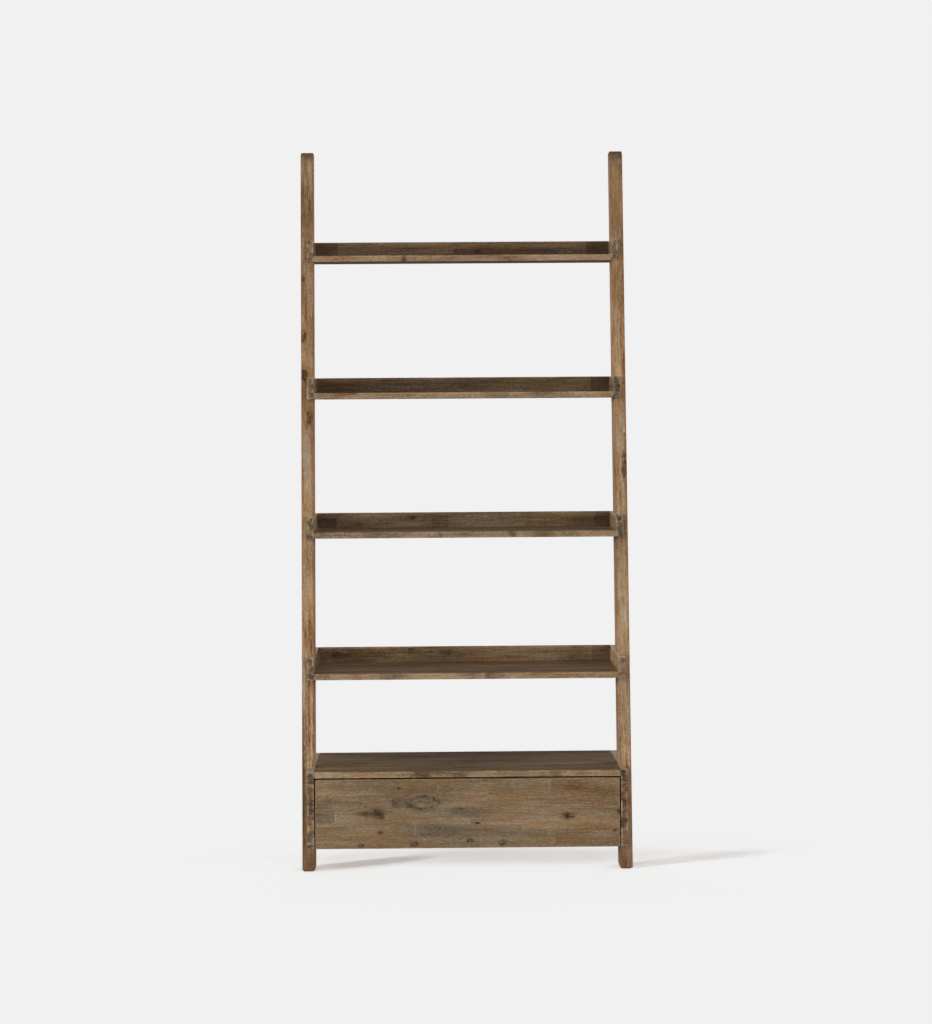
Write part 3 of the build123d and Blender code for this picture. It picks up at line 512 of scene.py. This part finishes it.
rails = {
    **plainBoard,
    "nodes": ["lower_tray_back", "middle_tray_back", "upper_tray_back", "top_tray_back", "box_back"],
    "along": (1, 0, 0), "across": (0, 0, 1), "staveWidth": 31, "warm": 0.65, "grey": 0.15, "wildRare": 0.9,
    "streak": 1.1, "fibre": 0.8, "fleck": 1.7, "blotch": 1.6, "lime": 0.15, "unshadedRearTone": 0.75,
    # the low tones darken the fronts inside the trays: partly darker wood, partly painted shade
    "tones": {"lower_tray_back": 0.46, "middle_tray_back": 0.375, "upper_tray_back": 0.28,
              "top_tray_back": 0.335, "box_back": 0.85},
    "marks": {  # darker staves and ends, pale glue lines
        "lower_tray_back": [paleTop, (390, 0, 28, 40, "dark", 0.4, True)],
        "middle_tray_back": [paleTop, (-387, 2, 27, 14, "dark", 0.8, True),
                             (-292, -2, 16, 6, "knot", 0.5, False), (-68, 3, 24, 20, "dark", 0.45, True),
                             (395, 0, 24, 40, "dark", 0.5, True)],
        "upper_tray_back": [paleTop, (-350, -5, 90, 30, "dark", 0.6, False),
                            (-162, 0, 1.5, 40, "pale", 0.5, True), (138, 0, 1.5, 40, "pale", 0.6, True),
                            (275, 8, 137, 40, "pale", 0.2, True), (390, 0, 28, 40, "dark", 0.6, True)],
        "top_tray_back": [paleTop, (124, -2, 155, 13, "dark", 0.75, True),
                          (236, 20, 105, 10, "pale", 0.35, True), (-382, 5, 33, 40, "dark", 0.6, True),
                          (385, 5, 34, 40, "dark", 0.65, True)],
    },
    "knots": {
        "top_tray_back": [(40, 4, 9, 6, "dark")],
        "upper_tray_back": [(12, 7, 9, 6, "ring")],
        "middle_tray_back": [(-147, 15, 10, 6, "dark")],
        "lower_tray_back": [(-367, 10, 12, 8, "dark"), (-153, 21, 9, 5, "ring"), (-47, 14, 11, 7, "ring")],
    },
}
sideBoards = {
    **plainBoard,
    "nodes": [f"{level}_{side}_side"
              for level in ("lower_tray", "middle_tray", "upper_tray", "top_tray", "box")
              for side in ("left", "right")],
    "along": (0, 1, 0), "across": (0, 0, 1), "staveWidth": 38, "staveTone": 0.3,
    "fibre": 1.1, "endSoak": 0.38,
    "tones": {"lower_tray_left_side": 0.8, "lower_tray_right_side": 1.3},
    # the pale top faces are painted light, with some wear
    "greyShare": 0.25, "grey": 0.5, "warm": 0.62, "wornAndLitShare": 0.7, "wornAndLitWide": 6, "wornAndLitTone": 1.2, "facesLitAndWorn": 0.9,
    "knots": {
        "middle_tray_left_side": [(-132, -27, 15, 5, "dark")],
        "middle_tray_right_side": [(-132, 20, 15, 7, "dark")],
        "box_right_side": [(-200, 12, 24, 11, "dark")],
    },
    "hearts": {
        "top_tray_right_side": [(-4, 0, 17, 6)],
        "upper_tray_right_side": [(2, -1, 15, 7)],
        "middle_tray_left_side": [(16, 0, 12, 6)],
        "lower_tray_left_side": [(18, 0, 6, 6)],
        "lower_tray_right_side": [(18, 1, 7, 5)],
        "box_left_side": [(86, 0, 10, 7)],
        "box_right_side": [(-33, -2, 19, 8)],
    },
    "marks": {  # staves of the front ends
        "middle_tray_right_side": [(-132, 0, 26, 40, "grey", 0.9, True)],
        "upper_tray_right_side": [(-97, 0, 20, 40, "grey", 0.6, True)],
        "box_left_side": [(-200, 0, 40, 110, "rust", 0.3, True), (-200, 8, 70, 21, "knot", 0.6, True),
                          (-200, 86, 90, 16, "grey", 0.7, True), (-200, -82, 80, 19, "grey", 0.7, True),
                          (-200, -37, 60, 24, "pale", 0.5, True), (-200, 49, 60, 19, "pale", 0.5, True)],
        "box_right_side": [(-200, 0, 40, 110, "rust", 0.3, True), (-200, 86, 80, 17, "knot", 0.4, True),
                           (-200, 53, 70, 15, "rust", 0.5, True), (-200, -40, 60, 58, "pale", 0.3, True)],
    },
}
drawerFront = {
    **plainBoard,
    "nodes": ["drawer_front"],
    "along": (1, 0, 0), "across": (0, 0, 1), "tone": 0.68, "staveTone": 0.12, "staveHue": 0.25,
    "greyShare": 0.0, "wildRare": 0.98, "streak": 0.35, "fibre": 0.65, "fleck": 1.5, "blotch": 1.3,
    "bleach": 0.15, "darkLine": 0.1, "warm": 0.45, "lime": 0.25, "drift": 4,
    "knots": {
        "drawer_front": [
            (-242, 0, 17, 13, "dark"), (-185, 71, 5, 3, "dark"), (-234, -49, 6, 5, "dark"),
            (-289, -86, 8, 5, "ring"), (-146, -83, 11, 7, "ring"), (6, -74, 8, 6, "ring"),
            (92, -81, 9, 7, "ring"), (-18, 13, 7, 3, "dark"), (25, -27, 8, 3, "dark"),
            (271, -10, 14, 9, "dark"), (399, -49, 5, 4, "dark"), (412, 3, 8, 6, "dark"),
            (-197, 31, 7, 7, "dark"), (-155, 20, 11, 5, "dark"),
            (-120, 30, 44, 17, "eye"),
        ],
    },
    "marks": {  # greyed staves, smudges beside the knots and pale butt joints
        "drawer_front": [
            (-385, -10, 27, 14, "grey", 0.7, True), (-177, 29, 28, 14, "grey", 0.8, True),
            (-345, 34, 75, 11, "grey", 0.5, False), (-273, 1, 36, 11, "knot", 0.75, False),
            (5, -47, 146, 16, "grey", 0.25, True), (-75, -47, 110, 18, "grey", 0.75, False),
            (45, -44, 50, 5, "dark", 0.5, False), (-21, 5, 25, 11, "grey", 0.7, True),
            (20, 4, 50, 10, "grey", 0.7, False), (-300, 22, 60, 5, "rust", 0.5, False),
            (-357, -10, 1.5, 14, "lime", 0.4, True), (-141, -47, 1.5, 16, "lime", 0.4, True),
            (151, -47, 1.5, 16, "lime", 0.3, True), (-80, 68, 1.5, 14, "lime", 0.35, True),
            (221, 76, 1.5, 15, "lime", 0.35, True), (268, 77, 42, 15, "dark", 0.3, True),
            (280, 72, 50, 5, "rust", 0.6, False), (60, -20, 90, 3, "rust", 0.5, False),
        ],
    },
}

# Planed acacia, oiled: the drawer's inner boards are cleaner and redder than the outside.
drawerBoards = {
    **plainBoard,
    "madeAs": "planed_acacia_",
    "warm": 0.75, "lime": 0.05, "grey": 0.1, "wornAndLitShare": 0.2, "wildRare": 0.95, "darkLine": 0.3,
}
acrossBoards = {**drawerBoards, "along": (1, 0, 0), "across": (0, 0, 1),
                "nodes": ["drawer_box_front", "drawer_back"]}
alongBoards = {**drawerBoards, "along": (0, 1, 0), "across": (0, 0, 1),
               "nodes": ["drawer_left_side", "drawer_right_side"]}
bottomBoard = {**drawerBoards, "along": (1, 0, 0), "across": (0, 1, 0), "nodes": ["drawer_bottom"]}
plugs = {**plainBoard, "along": (0, 0, 1), "across": (1, 0, 0), "nodes": ["post_plugs"]}
boards = (posts, shelves, boxTop, rails, sideBoards, drawerFront,
          acrossBoards, alongBoards, bottomBoard, plugs)
for finish in boards:
    for node in finish["nodes"]:
        dress(node, acacia(node, finish))
print("acacia boards dressed")

fittings = {  # grain in millimetres, colours at two noise values, roughness, relief and its depth in metres
    # Beech dowel rod: pale, even, with fine short flecks.
    "turned_beech": {
        "grain": (3.0, 0.5, 0.5), "detail": 3.0, "colours": [(0.35, "#a9825a"), (0.6, "#d2b48c")],
        "metallic": 0.0, "rough": 0.6, "relief": 0.3, "deep": 0.0002,
        "nodes": ["shelf_dowels", "back_dowels", "drawer_dowels"]},
    # Black zinc plate on the slides: dark, satin, a little cloudy.
    "black_zinc_plated_steel": {
        "grain": (9.0, 9.0, 9.0), "detail": 4.0, "colours": [(0.35, "#37393b"), (0.65, "#4c4e50")],
        "metallic": 1.0, "rough": (0.34, 0.48), "relief": 0.1, "deep": 0.0001,
        "nodes": [f"{side}_slide_{member}_member" for side in ("left", "right")
                  for member in ("cabinet", "middle", "drawer")]},
    # Polished balls in their cages: bright, with sharp reflections.
    "polished_ball_steel": {
        "grain": (2.0, 2.0, 2.0), "detail": 4.0, "colours": [(0.35, "#c0c3c5"), (0.65, "#d5d7d8")],
        "metallic": 1.0, "rough": (0.12, 0.2), "relief": 0.1, "deep": 0.0001,
        "nodes": ["slide_outer_ball_cages", "slide_inner_ball_cages"]},
    # Zinc plate on the wall hangers: satin, with a cloudy bluish tint.
    "zinc_plated_steel": {
        "grain": (9.0, 9.0, 9.0), "detail": 4.0, "colours": [(0.35, "#9fa5ab"), (0.65, "#c4c8cc")],
        "metallic": 1.0, "rough": (0.28, 0.42), "relief": 0.1, "deep": 0.0001,
        "nodes": ["left_wall_hanger", "right_wall_hanger"]},
    # Yellow passivated screws: brassy and satin.
    "yellow_passivated_screw_steel": {
        "grain": (4.0, 4.0, 4.0), "detail": 4.0, "colours": [(0.35, "#7d745e"), (0.65, "#a59a7c")],
        "metallic": 1.0, "rough": (0.3, 0.45), "relief": 0.1, "deep": 0.0001,
        "nodes": ["post_screws", "drawer_front_screws", "slide_cabinet_screws", "slide_drawer_screws",
                  "hanger_screws"]},
    # Rubber foot pads: black, moulded, dull with a fine grit.
    "moulded_rubber": {
        "grain": (1.2, 1.2, 1.2), "detail": 2.0, "colours": [(0.4, "#232221"), (0.7, "#34322f")],
        "metallic": 0.0, "rough": 0.8, "relief": 0.4, "deep": 0.0002,
        "nodes": ["left_foot_pad", "right_foot_pad"]},
}
cloudy = (0.3, 0.7)  # the noise values between which plating goes from smooth to rough


def fitting(name, look):  # two colours and a slight relief from one fine noise
    material, tree = newMaterial(name)
    place = put(tree, "Mapping", {"Vector": put(tree, "TexCoord").outputs["Object"],
                                  "Scale": [perMetre / size for size in look["grain"]]})
    noise = put(tree, "TexNoise", {"Vector": place, "Scale": 1.0, "Detail": look["detail"]})
    stops = [(at, linear(hexColour)) for at, hexColour in look["colours"]]
    colour = put(tree, "ValToRGB", {0: noise}, stops=stops)
    rough = look["rough"]
    if look["metallic"]:
        rough = put(tree, "MapRange", {"Value": noise, "From Min": cloudy[0], "From Max": cloudy[1],
                                       "To Min": rough[0], "To Max": rough[1]})
    relief = put(tree, "Bump", {"Height": noise, "Strength": look["relief"], "Distance": look["deep"]})
    surface = put(tree, "BsdfPrincipled", {"Base Color": colour, "Metallic": look["metallic"],
                                           "Roughness": rough, "Normal": relief})
    put(tree, "OutputMaterial", {"Surface": surface})
    return material


for name, look in fittings.items():
    finish = fitting(name, look)
    for node in look["nodes"]:
        dress(node, finish)
print("fittings dressed")

# Studio: a broad front light in three parts, a light on each side and two behind, as suns, so that
# the floor is evenly lit, and a glow from the backdrop.
studio = {
    "paper": "#f1f1f1",  # floor and background
    "dome": 0.05, "back": 1.0,  # light from all round, and from the backdrop behind
    "backPower": 4.0, "backOnFloor": 1 / 16,  # how the glow gathers, and the part of it that lights the floor
    "floorBounce": 0.6,
    "shadowPools": [  # middle, turn, stretch and share: the lights make that share of the floor's brightness
        ((0.1, 0.06, 0), 0, (0.7, 3.0, 1), 0.5),  # under the box
        ((0.0, 0.28, 0), 0, (1.1, 4.0, 1), 0.45),  # behind the box
        ((-0.26, -0.02, 0), 29, (1.9, 6.0, 1), 0.88),  # right of the left foot
        ((0.62, -0.011, 0), 29, (1.8, 6.0, 1), 1.0),  # right of the right foot
        ((0.1, -0.1, 0), 0, (0.5, 0.9, 1), 0.12),  # all round, so an open drawer has a shadow too
    ],
    "shadowNear": 0.2, "shadowFar": 0.65,  # metres, the share fades out between them
    "floorReach": 60.0,  # metres
    "suns": {  # name: strength, degrees off the front to the right, degrees up, softness in degrees
        "frontLightLeft": (0.6, -24, 8, 15),
        "frontLight": (0.6, 2, 8, 15),
        "frontLightRight": (0.6, 28, 8, 15),
        "leftLight": (1.15, -61, 10, 7),
        "rightLight": (0.6, 64, 10, 20),
        "backLightLeft": (0.5, -150, 2, 8),
        "backLightRight": (0.5, 150, 2, 8),
    },
}


def seenDirectly(tree):  # 1 where the camera, a reflection or clear material looks, else 0
    path = put(tree, "LightPath")
    seen = put(tree, "Math", {0: path.outputs["Is Camera Ray"], 1: path.outputs["Is Glossy Ray"]},
               operation="MAXIMUM")
    return put(tree, "Math", {0: seen, 1: path.outputs["Is Transmission Ray"]}, operation="MAXIMUM")


floorLight = studio["dome"] + studio["back"] * studio["backOnFloor"]  # what a white floor gives back
for name, (strength, aside, up, soft) in studio["suns"].items():
    lamp = bpy.data.lights.new(name, "SUN")
    lamp.energy = strength
    lamp.angle = math.radians(soft)
    sun = bpy.data.objects.new(name, lamp)
    bpy.context.scene.collection.objects.link(sun)
    side, rise = math.radians(aside), math.radians(up)
    towards = Vector((math.sin(side) * math.cos(rise), -math.cos(side) * math.cos(rise), math.sin(rise)))
    sun.rotation_mode = "QUATERNION"
    sun.rotation_quaternion = towards.to_track_quat("Z", "Y")
    floorLight += strength * math.sin(rise) / math.pi
paper = linear(studio["paper"])

reach = studio["floorReach"]
corners = [(-reach, -reach, 0), (reach, -reach, 0), (reach, reach, 0), (-reach, reach, 0)]
floorMesh = bpy.data.meshes.new("studioFloor")
floorMesh.from_pydata(corners, [], [(0, 1, 2, 3)])
floor = bpy.data.objects.new("studioFloor", floorMesh)
bpy.context.scene.collection.objects.link(floor)
floorMaterial, tree = newMaterial("painted_floor")
onFloor = put(tree, "TexCoord").outputs["Object"]
share = 0.0
for middle, turned, stretch, most in studio["shadowPools"]:
    away = put(tree, "VectorMath", {0: onFloor, 1: middle}, operation="SUBTRACT")
    away = put(tree, "VectorRotate", {"Vector": away, "Angle": -math.radians(turned)}, rotation_type="Z_AXIS")
    away = put(tree, "VectorMath", {0: away, 1: stretch}, operation="MULTIPLY")
    away = put(tree, "VectorMath", {0: away}, operation="LENGTH").outputs["Value"]
    pool = put(tree, "MapRange", {"Value": away, "From Min": studio["shadowNear"],
                                  "From Max": studio["shadowFar"], "To Min": most, "To Max": 0.0},
               interpolation_type="SMOOTHSTEP")
    share = put(tree, "Math", {0: pool, 1: share}, operation="MAXIMUM")
dim = put(tree, "BsdfDiffuse", {"Color": (studio["floorBounce"],) * 3 + (1,)})
lit = put(tree, "BsdfDiffuse", {"Color": [c / floorLight for c in paper[:3]] + [1]})
glow = put(tree, "Emission", {"Color": paper, "Strength": 1.0})
bright = put(tree, "MixShader", {0: share, 1: glow, 2: lit})  # both give the paper's colour out of shadow
put(tree, "OutputMaterial", {"Surface": put(tree, "MixShader", {0: seenDirectly(tree), 1: dim, 2: bright})})
floorMesh.materials.append(floorMaterial)

world = bpy.data.worlds.new("studioDome")
bpy.context.scene.world = world
world.use_nodes = True
tree = world.node_tree
tree.nodes.clear()
behind = put(tree, "SeparateXYZ", {0: put(tree, "TexCoord").outputs["Generated"]}).outputs["Y"]
behind = put(tree, "Math", {0: behind, 1: 0.0}, operation="MAXIMUM")
behind = put(tree, "Math", {0: behind, 1: studio["backPower"]}, operation="POWER")
behind = put(tree, "Math", {0: behind, 1: studio["back"], 2: studio["dome"]}, operation="MULTIPLY_ADD")
dome = put(tree, "Background", {"Color": (1, 1, 1, 1), "Strength": behind})
backdrop = put(tree, "Background", {"Color": paper, "Strength": 1.0})
put(tree, "OutputWorld", {"Surface": put(tree, "MixShader", {0: seenDirectly(tree), 1: dome, 2: backdrop})})
print("studio lit")

camera = {  # where the photograph was taken from, in metres and radians
    "place": (-0.1031, -7.1852, 1.2574), "right": 0.0149, "down": 0.0400, "roll": 0.0069,
    "focalPixels": 2600.1, "longSidePixels": 1024, "sensor": 36.0, "clipEnd": 200,
}
lens = bpy.data.cameras.new("photoCamera")
lens.sensor_width = camera["sensor"]
lens.lens = camera["focalPixels"] * camera["sensor"] / camera["longSidePixels"]
lens.clip_end = camera["clipEnd"]
photoCamera = bpy.data.objects.new("photoCamera", lens)
bpy.context.scene.collection.objects.link(photoCamera)
ahead = Vector((math.cos(camera["down"]) * math.sin(camera["right"]),
                math.cos(camera["down"]) * math.cos(camera["right"]), -math.sin(camera["down"])))
photoCamera.rotation_mode = "QUATERNION"
level = ahead.to_track_quat("-Z", "Y")
photoCamera.rotation_quaternion = level @ Matrix.Rotation(-camera["roll"], 4, "Z").to_quaternion()
photoCamera.location = camera["place"]
bpy.context.scene.camera = photoCamera
bpy.context.scene.view_settings.view_transform = "Standard"
print("camera set")
